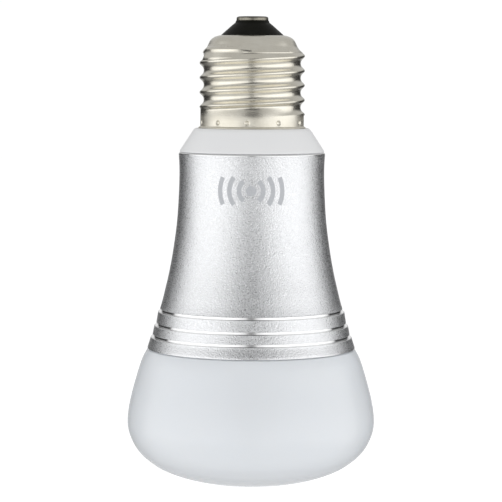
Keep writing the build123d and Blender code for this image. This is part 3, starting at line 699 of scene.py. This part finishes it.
cap = make_object("cap_shell_rolled", verts, faces, [MATS["nickel"]], None, 50.0)
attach(cap, "root")
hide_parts("screw_shell")

# ------------------------------------------------------------------------------ neck
neck_outer = rounded([(11.20, -9.2), (11.58, -9.6), (11.58, -23.6), (12.40, -24.6), (12.40, -27.60), (13.55, -27.60),
                      (14.10, -27.66), (14.72, -28.28), (17.86, -33.10), (17.95, -33.45)],
                     [0.1, 0.2, 0.2, 0.05, 0.05, 0.3, 1.0, 0.5], 0.10)
neck_profile = neck_outer[:-1] + line((17.95, -33.45), (12.40, -33.45), 1.0) + rounded(
    [(12.40, -33.45), (12.40, -37.5), (11.9, -38.0), (9.70, -38.0), (9.70, -9.2), (11.20, -9.2)], [0.1, 0.1, 0.1, 0.1], 0.2)[:-1]
neck = lathe("neck_moulding", neck_profile, [MATS["white"]], 256)
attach(neck, "root")
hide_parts("neck_collar")

# ------------------------------------------------------------------------------ body
flare_pts = [(18.19, -34.02), (18.12, -35.0), (18.01, -38.0), (18.07, -41.73), (18.23, -45.47), (18.46, -49.21),
             (18.83, -52.96), (19.35, -56.71), (19.95, -60.47), (20.68, -64.22), (21.56, -67.99), (22.17, -70.50),
             (22.76, -72.52)]
GROOVES = [(22.78, -72.55, 23.30), (23.70, -76.00, 24.25), (24.62, -78.90, 25.15)]
body_pts, body_mat = [], []


def run(points, mat):
    """Adds a run of outline points; each strip that starts in it takes material mat."""
    for p in points:
        if body_pts and math.hypot(body_pts[-1][0] - p[0], body_pts[-1][1] - p[1]) < 1e-5:
            body_mat[-1] = mat
            continue
        body_pts.append(p)
        body_mat.append(mat)


run(rounded([(17.40, -33.47), (17.74, -33.48), (18.20, -33.86), (18.20, -33.98)], [0.05, 0.08], 0.04), 1)
run(catmull(flare_pts, 0.45), 0)
for i, (lip_r, lip_z, band_r) in enumerate(GROOVES):
    end = (GROOVES[i + 1][0], GROOVES[i + 1][1]) if i < 2 else (25.90, -82.27)
    wall = lip_r - 0.36
    run(rounded([(lip_r - 0.003, lip_z), (lip_r - 0.03, lip_z - 0.07), (wall, lip_z - 0.10)], [0.03], 0.02), 1)
    run([(wall, lip_z - 0.10)], 1)
    run(line((wall, lip_z - 0.13), (wall + 0.03, lip_z - 0.60), 0.2), 1)
    run([(wall + 0.03, lip_z - 0.60), (wall + 0.06, lip_z - 0.64), (band_r - 0.14, lip_z - 0.70)], 1)
    run([(band_r - 0.02, lip_z - 0.79)], 0)
    run(line((band_r + 0.002, lip_z - 1.02), end, 0.5), 0)
run(rounded([(25.90, -82.27), (25.89, -82.36), (25.62, -82.60), (25.2, -82.60)], [0.05, 0.05], 0.03), 1)
run([(23.92, -82.60), (23.30, -81.98), (23.30, -80.75), (23.62, -80.55), (23.62, -79.75), (23.30, -79.55), (23.30, -77.6),
     (21.55, -77.6), (21.55, -71.0), (20.2, -71.0)], 0)
run([(r - 1.4, z) for r, z in reversed(catmull(flare_pts[1:-2], 2.0))], 0)
run([(16.6, -35.05), (12.50, -35.05), (12.50, -33.46)], 0)
body = lathe("body_blasted", body_pts, [MATS["blasted"], MATS["polished"]], 320, mat_of=lambda i: body_mat[i], sharp_deg=28.0)
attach(body, "root")
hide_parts("heat_sink_body")

# ------------------------------------------------------------------------------ globe
globe_pts = [(25.62, -82.62), (25.95, -82.72), (26.33, -83.43), (26.85, -84.35), (27.27, -85.28), (27.63, -86.26), (27.96, -87.27), (28.27, -88.28),
             (28.86, -90.28), (29.42, -92.31), (29.94, -94.32), (30.37, -96.32), (30.70, -98.31), (30.85, -100.10),
             (30.88, -101.23), (30.79, -102.17), (30.62, -103.11), (30.35, -104.05), (29.99, -105.0), (29.56, -105.95),
             (29.04, -106.89), (28.43, -107.79), (27.69, -108.68), (26.80, -109.56), (25.73, -110.43), (24.55, -111.31),
             (23.22, -112.13), (21.52, -112.95), (19.42, -113.76), (16.85, -114.54), (13.66, -115.26), (9.9, -115.86),
             (5.8, -116.30), (2.6, -116.54), (0.0, -116.61)]
outer_line = catmull(globe_pts, 0.8)
outer_line[-1] = (0.0, -116.61)
inner_line = []
for i in range(10, len(outer_line) - 1):
    a, b = np.array(outer_line[i - 1]), np.array(outer_line[i + 1])
    t = (b - a) / np.linalg.norm(b - a)
    nrm = np.array([t[1], -t[0]])
    p = np.array(outer_line[i]) + nrm * 1.6
    if p[0] > 0.4 and p[1] < -85.2:
        inner_line.append(tuple(p))
inner_line = inner_line[::2]
globe_profile = outer_line + [(0.0, -115.01)] + inner_line[::-1] + [
    (24.9, -84.4), (24.5, -84.2), (21.7, -84.2), (21.7, -78.0), (22.95, -78.0), (23.2, -78.3), (23.2, -79.75), (23.48, -79.95),
    (23.48, -80.30), (23.2, -80.70), (23.2, -82.62)]
globe = lathe("opal_globe", globe_profile, [MATS["globe"]], 320, sharp_deg=40.0)
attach(globe, "root")
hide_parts("diffuser_globe")


# ------------------------------------------------------------------------------ etched mark
def body_radius(z):
    for (r0, z0), (r1, z1) in zip(flare_line[:-1], flare_line[1:]):
        if z1 <= z <= z0:
            return r0 + (r1 - r0) * (z - z0) / (z1 - z0)
    return flare_line[0][0]


flare_line = catmull(flare_pts, 0.2)
MARK_Z, MARK_X, STROKE = -42.35, -0.15, 1.15
mark_faces, mark_verts = [], []


def mark_strip(path, width):
    """A flat stroke along a path in the (x, z) plane, laid on the body's front with a little thickness."""
    P = np.array(path, float)
    T = np.gradient(P, axis=0)
    T /= np.linalg.norm(T, axis=1)[:, None]
    N = np.stack([-T[:, 1], T[:, 0]], axis=1)
    m = 5
    base = len(mark_verts)
    for lift in (0.018, -0.03):
        for p, nv in zip(P, N):
            for k in range(m):
                q = p + nv * width * (k / (m - 1) - 0.5)
                z = MARK_Z + q[1]
                r = body_radius(z) + lift
                a = (MARK_X + q[0]) / body_radius(z)
                mark_verts.append((r * math.sin(a), -r * math.cos(a), z))
    n = len(P)

    def vid(layer, i, k):
        return base + layer * n * m + i * m + k

    for i in range(n - 1):
        for k in range(m - 1):
            mark_faces.append((vid(0, i, k), vid(0, i, k + 1), vid(0, i + 1, k + 1), vid(0, i + 1, k)))
            mark_faces.append((vid(1, i, k), vid(1, i + 1, k), vid(1, i + 1, k + 1), vid(1, i, k + 1)))
        for k, flip in ((0, False), (m - 1, True)):
            q = (vid(0, i, k), vid(0, i + 1, k), vid(1, i + 1, k), vid(1, i, k))
            mark_faces.append(q[::-1] if flip else q)
    for i, flip in ((0, True), (n - 1, False)):
        for k in range(m - 1):
            q = (vid(0, i, k), vid(0, i, k + 1), vid(1, i, k + 1), vid(1, i, k))
            mark_faces.append(q[::-1] if flip else q)


def mark_disc(cx, cz, radius):
    rings, seg = 5, 48
    base = len(mark_verts)
    for lift in (0.018, -0.03):
        for i in range(rings + 1):
            rad = radius * i / rings
            for j in range(seg):
                x = cx + rad * math.cos(2 * math.pi * j / seg)
                z = MARK_Z + cz + rad * math.sin(2 * math.pi * j / seg)
                r = body_radius(z) + lift
                a = (MARK_X + x) / body_radius(z)
                mark_verts.append((r * math.sin(a), -r * math.cos(a), z))
                if i == 0:
                    break
    per = 1 + rings * seg

    def vid(layer, i, j):
        return base + layer * per + (0 if i == 0 else 1 + (i - 1) * seg + j % seg)

    for layer in (0, 1):
        for i in range(rings):
            for j in range(seg):
                if i == 0:
                    mark_faces.append((vid(layer, 0, 0), vid(layer, 1, j), vid(layer, 1, j + 1)))
                else:
                    mark_faces.append((vid(layer, i, j), vid(layer, i + 1, j), vid(layer, i + 1, j + 1), vid(layer, i, j + 1)))
    for j in range(seg):
        mark_faces.append((vid(0, rings, j), vid(1, rings, j), vid(1, rings, j + 1), vid(0, rings, j + 1)))


def arc(cx, cz, radius, a0, a1, n=40):
    return [(cx + radius * math.cos(math.radians(a)), cz + radius * math.sin(math.radians(a))) for a in np.linspace(a0, a1, n)]


mark_disc(0.0, 0.0, 1.25)
for side in (0, 180):
    mark_strip(arc(0, 0, 2.95, side - 52, side + 52), STROKE)
    mark_strip(arc(0, 0, 5.35, side - 38, side + 38), STROKE)
    mark_strip(arc(0, 0, 7.75, side - 25, side + 25), STROKE)
mark = make_object("etched_mark", mark_verts, mark_faces, [MATS["etch"]], None, 60.0)
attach(mark, "root")

# ------------------------------------------------------------------------------ camera
PITCH_DEG, ROLL_DEG = 4.54, 0.24
cam_data = bpy.data.cameras.new("camera")
cam_data.sensor_width = 36.0
cam_data.lens = 2332.0 / 502.0 * 36.0
cam_data.clip_start, cam_data.clip_end = 0.01, 50.0
cam = bpy.data.objects.new("camera", cam_data)
scene.collection.objects.link(cam)
rot = Matrix.Rotation(math.radians(90 - PITCH_DEG), 4, "X") @ Matrix.Rotation(math.radians(ROLL_DEG), 4, "Z")
cam.matrix_world = Matrix.Translation((-0.000125, -0.580, -0.0122)) @ rot
scene.camera = cam

# ------------------------------------------------------------------------------ floor, backdrop and light
# The lamp stands on a pale lit table in a white room. Two broad, soft-edged lamps stand to the left and right of the
# camera, with a dimmer gap between them, a grey ceiling above and a dark space behind.
FLOOR_Z = cad_box[0].z - 0.00002


def stage_material(name, emission, diffuse):
    m = bpy.data.materials.new(name)
    m.use_nodes = True
    t = m.node_tree
    t.nodes.clear()
    out = t.nodes.new("ShaderNodeOutputMaterial")
    e = t.nodes.new("ShaderNodeEmission")
    e.inputs["Color"].default_value = (1, 1, 1, 1)
    e.inputs["Strength"].default_value = emission
    if diffuse > 0:
        d = t.nodes.new("ShaderNodeBsdfDiffuse")
        d.inputs["Color"].default_value = (diffuse, diffuse, diffuse, 1)
        a = t.nodes.new("ShaderNodeAddShader")
        t.links.new(e.outputs[0], a.inputs[0])
        t.links.new(d.outputs[0], a.inputs[1])
        t.links.new(a.outputs[0], out.inputs["Surface"])
    else:
        t.links.new(e.outputs[0], out.inputs["Surface"])
    return m


def camera_only(o):
    """The room is seen, but the light on the lamp comes from the studio alone."""
    o.visible_diffuse = False
    o.visible_glossy = False
    o.visible_transmission = False
    o.visible_volume_scatter = False
    o.visible_shadow = False


bm = bmesh.new()
bmesh.ops.create_circle(bm, cap_ends=True, cap_tris=False, segments=96, radius=2.0)
me = bpy.data.meshes.new("floor")
bm.to_mesh(me)
bm.free()
floor = bpy.data.objects.new("floor", me)
floor.location.z = FLOOR_Z
scene.collection.objects.link(floor)
me.materials.append(stage_material("pale_floor", 0.80, 0.45))
camera_only(floor)

bm = bmesh.new()
bmesh.ops.create_icosphere(bm, subdivisions=4, radius=8.0)
me = bpy.data.meshes.new("backdrop")
bm.to_mesh(me)
bm.free()
backdrop = bpy.data.objects.new("backdrop", me)
scene.collection.objects.link(backdrop)
me.materials.append(stage_material("pale_backdrop", 1.02, 0.0))
camera_only(backdrop)

world = bpy.data.worlds.new("studio")
scene.world = world
world.use_nodes = True
wt = world.node_tree
wt.nodes.clear()


def wnode(kind, **props):
    n = wt.nodes.new(kind)
    for k, v in props.items():
        setattr(n, k, v)
    return n


def wmath(op, a, b=None, clamp=False):
    n = wnode("ShaderNodeMath", operation=op, use_clamp=clamp)
    for i, v in enumerate((a, b)):
        if v is None:
            continue
        if isinstance(v, (int, float)):
            n.inputs[i].default_value = v
        else:
            wt.links.new(v, n.inputs[i])
    return n.outputs[0]


def wstep(x, a, b):
    """0 below a, 1 above b, smooth between; falls instead when a > b."""
    n = wnode("ShaderNodeMapRange", interpolation_type="SMOOTHSTEP", clamp=True)
    lo, hi = (a, b) if a < b else (b, a)
    n.inputs["From Min"].default_value = lo
    n.inputs["From Max"].default_value = hi
    n.inputs["To Min"].default_value = 0.0 if a < b else 1.0
    n.inputs["To Max"].default_value = 1.0 if a < b else 0.0
    wt.links.new(x, n.inputs["Value"])
    return n.outputs["Result"]


def wprofile(x, stops):
    """Brightness against x in degrees (0 to 180), eased between stops."""
    n = wnode("ShaderNodeValToRGB")
    n.color_ramp.interpolation = "EASE"
    el = n.color_ramp.elements
    while len(el) < len(stops):
        el.new(0.5)
    for e, (deg_, v) in zip(el, stops):
        e.position = deg_ / 180.0
        e.color = (v, v, v, 1.0)
    wt.links.new(wmath("DIVIDE", x, 180.0), n.inputs["Fac"])
    s_ = wnode("ShaderNodeSeparateColor")
    wt.links.new(n.outputs["Color"], s_.inputs[0])
    return s_.outputs[0]


def wlerp(f, a, b):
    n = wnode("ShaderNodeMix", data_type="FLOAT", clamp_factor=True)
    wt.links.new(f, n.inputs[0])
    for i, v in ((2, a), (3, b)):
        if isinstance(v, (int, float)):
            n.inputs[i].default_value = v
        else:
            wt.links.new(v, n.inputs[i])
    return n.outputs[0]


tc = wnode("ShaderNodeTexCoord")
sep = wnode("ShaderNodeSeparateXYZ")
wt.links.new(tc.outputs["Generated"], sep.inputs[0])
az = wmath("MULTIPLY", wmath("ARCTAN2", sep.outputs["X"], wmath("MULTIPLY", sep.outputs["Y"], -1.0)), 180 / math.pi)
az = wmath("ABSOLUTE", az)
el = wmath("MULTIPLY", wmath("ARCSINE", sep.outputs["Z"]), 180 / math.pi)

LEVEL = [(0, 0.30), (3, 0.41), (8, 0.96), (18, 1.24), (34, 1.45), (54, 1.54), (84, 1.50), (104, 1.30), (112, 1.00), (119, 0.06),
         (157, 0.03), (168, 0.55), (180, 0.85)]
RAISED = [(0, 0.03), (14, 0.05), (23, 0.39), (33, 0.97), (46, 1.34), (62, 1.48), (86, 1.42), (104, 1.22), (112, 0.94), (119, 0.06),
          (157, 0.03), (168, 0.55), (180, 0.85)]
CEILING, BELOW, BELOW_BACK = 0.565, 0.71, 0.42
lamps = wlerp(wstep(el, 8.0, 24.0), wprofile(az, LEVEL), wprofile(az, RAISED))
behind = wstep(az, 104.0, 122.0)
gap = wstep(az, 26.0, 13.0)
slot = wstep(az, 12.0, 2.0)
# the lamps fade to the grey of the room above and below
under = wlerp(behind, wlerp(wmath("MULTIPLY", slot, wstep(el, -80.0, -55.0)), BELOW, 0.26), BELOW_BACK)
lit = wlerp(wstep(wmath("ADD", el, wlerp(behind, 0.0, 9.0)), -9.0, -37.0), lamps, under)
rise = wlerp(behind, wlerp(gap, 12.0, 31.0), 4.0)
span = wlerp(behind, wlerp(gap, 29.0, 11.0), 16.0)
lit = wlerp(wstep(wmath("DIVIDE", wmath("SUBTRACT", el, rise), span), 0.0, 1.0), lit, CEILING)
bg = wnode("ShaderNodeBackground")
bg.inputs["Color"].default_value = (1.0, 1.0, 1.0, 1.0)
wt.links.new(lit, bg.inputs["Strength"])
wo = wnode("ShaderNodeOutputWorld")
wt.links.new(bg.outputs[0], wo.inputs["Surface"])
